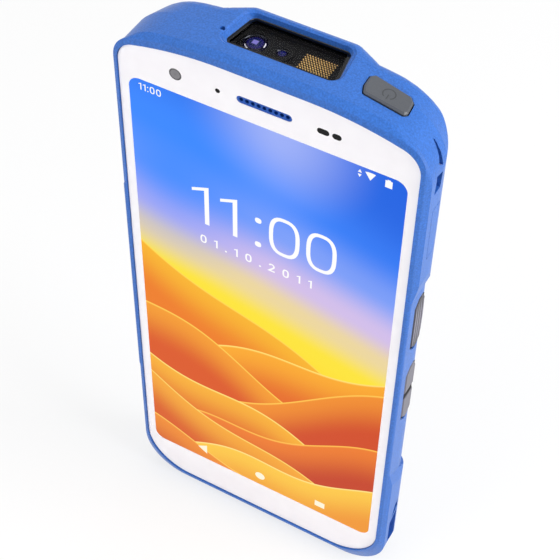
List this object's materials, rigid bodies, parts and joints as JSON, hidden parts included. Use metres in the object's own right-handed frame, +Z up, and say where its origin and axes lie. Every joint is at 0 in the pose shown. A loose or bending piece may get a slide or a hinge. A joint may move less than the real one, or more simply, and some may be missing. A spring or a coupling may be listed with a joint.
{
  "type": "portable barcode data terminal",
  "caption": "Slate-style handheld data terminal with a touch display, a barcode imager in its top end, side triggers, a volume rocker and a latched battery.",
  "frame": {"origin": "centre of the footprint, on the surface that the foot stands on", "axes": "+Z up the device's length to the scanner end, +X to the right seen from the display, the display faces -Y"},
  "size_m": [0.0774, 0.02, 0.1675],
  "materials": {
    "case_blue": "fine-textured moulded plastic, satin-matte",
    "cover_glass": "polished glass with a white printed border",
    "display": "lit panel",
    "dark_window": "dark polished window",
    "clear_window": "clear polished window",
    "button_grey": "matte moulded plastic",
    "black_plastic": "matte",
    "lens_glass": "coated glass",
    "gold": "gold plated",
    "steel": "plain",
    "magnesium": "as cast",
    "board": "solder-mask green",
    "gasket": "adhesive foam",
    "flex": "polyimide film",
    "light": "diffuser"
  },
  "bodies": {
    "case": {"aimer_lens": "lens_glass", "battery_contacts": "black_plastic", "board_screws": "steel", "card_socket": "steel", "charge_contacts": "gold", "chassis_plate": "magnesium", "chassis_screws": "steel", "cover_glass": "cover_glass", "display_gasket": "gasket", "display_module": "display", "dock_insert": "black_plastic", "earpiece_grille": "case_blue", "earpiece_speaker": "black_plastic", "engine_bracket": "steel", "flash_light": "light", "front_camera": "black_plastic", "front_camera_window": "clear_window", "illumination_array": "gold", "imager_lens": "lens_glass", "left_trigger_switch": "black_plastic", "link_flex": "flex", "loudspeaker": "black_plastic", "main_board": "board", "main_housing": "case_blue", "power_switch": "black_plastic", "rear_camera": "black_plastic", "rear_camera_window": "dark_window", "right_trigger_switch": "black_plastic", "scan_engine": "black_plastic", "scan_window": "clear_window", "scan_window_frame": "black_plastic", "sensor_windows": "dark_window", "shield_cans": "steel", "sub_board": "board", "usb_port": "steel", "vibration_motor": "steel", "volume_pin": "steel", "volume_switches": "black_plastic"},
    "battery": {"battery_cell": "black_plastic", "battery_cover": "case_blue"},
    "right_latch": {"right_latch": "black_plastic"},
    "left_latch": {"left_latch": "black_plastic"},
    "right_trigger": {"right_trigger": "button_grey"},
    "left_trigger": {"left_trigger": "button_grey"},
    "volume_rocker": {"volume_rocker": "button_grey"},
    "power_button": {"power_button": "button_grey"},
    "card_tray": {"card_tray": "case_blue"}
  },
  "joints": [
    {"name": "battery_lift", "type": "slide", "parent": "case", "child": "battery", "axis": [0, 1, 0], "range_m": [0, 0.012]},
    {"name": "right_latch_slide", "type": "slide", "parent": "battery", "child": "right_latch", "axis": [-1, 0, 0], "range_m": [0, 0.0015], "stiffness_N_per_m": 180},
    {"name": "left_latch_slide", "type": "slide", "parent": "battery", "child": "left_latch", "axis": [1, 0, 0], "range_m": [0, 0.0015], "stiffness_N_per_m": 180},
    {"name": "right_trigger_press", "type": "slide", "parent": "case", "child": "right_trigger", "axis": [-1, 0, 0], "range_m": [0, 0.0006], "stiffness_N_per_m": 180},
    {"name": "left_trigger_press", "type": "slide", "parent": "case", "child": "left_trigger", "axis": [1, 0, 0], "range_m": [0, 0.0006], "stiffness_N_per_m": 180},
    {"name": "volume_rock", "type": "hinge", "parent": "case", "child": "volume_rocker", "pos_m": [0.0361, -0.0038, 0.0783], "axis": [0, 1, 0], "range_deg": [-2.5, 2.5], "stiffness_Nm_per_rad": 0.02},
    {"name": "power_press", "type": "slide", "parent": "case", "child": "power_button", "axis": [-0.1669, 0, -0.986], "range_m": [0, 0.0005], "stiffness_N_per_m": 180},
    {"name": "card_tray_slide", "type": "slide", "parent": "case", "child": "card_tray", "axis": [1, 0, 0], "range_m": [0, 0.02]}
  ]
}
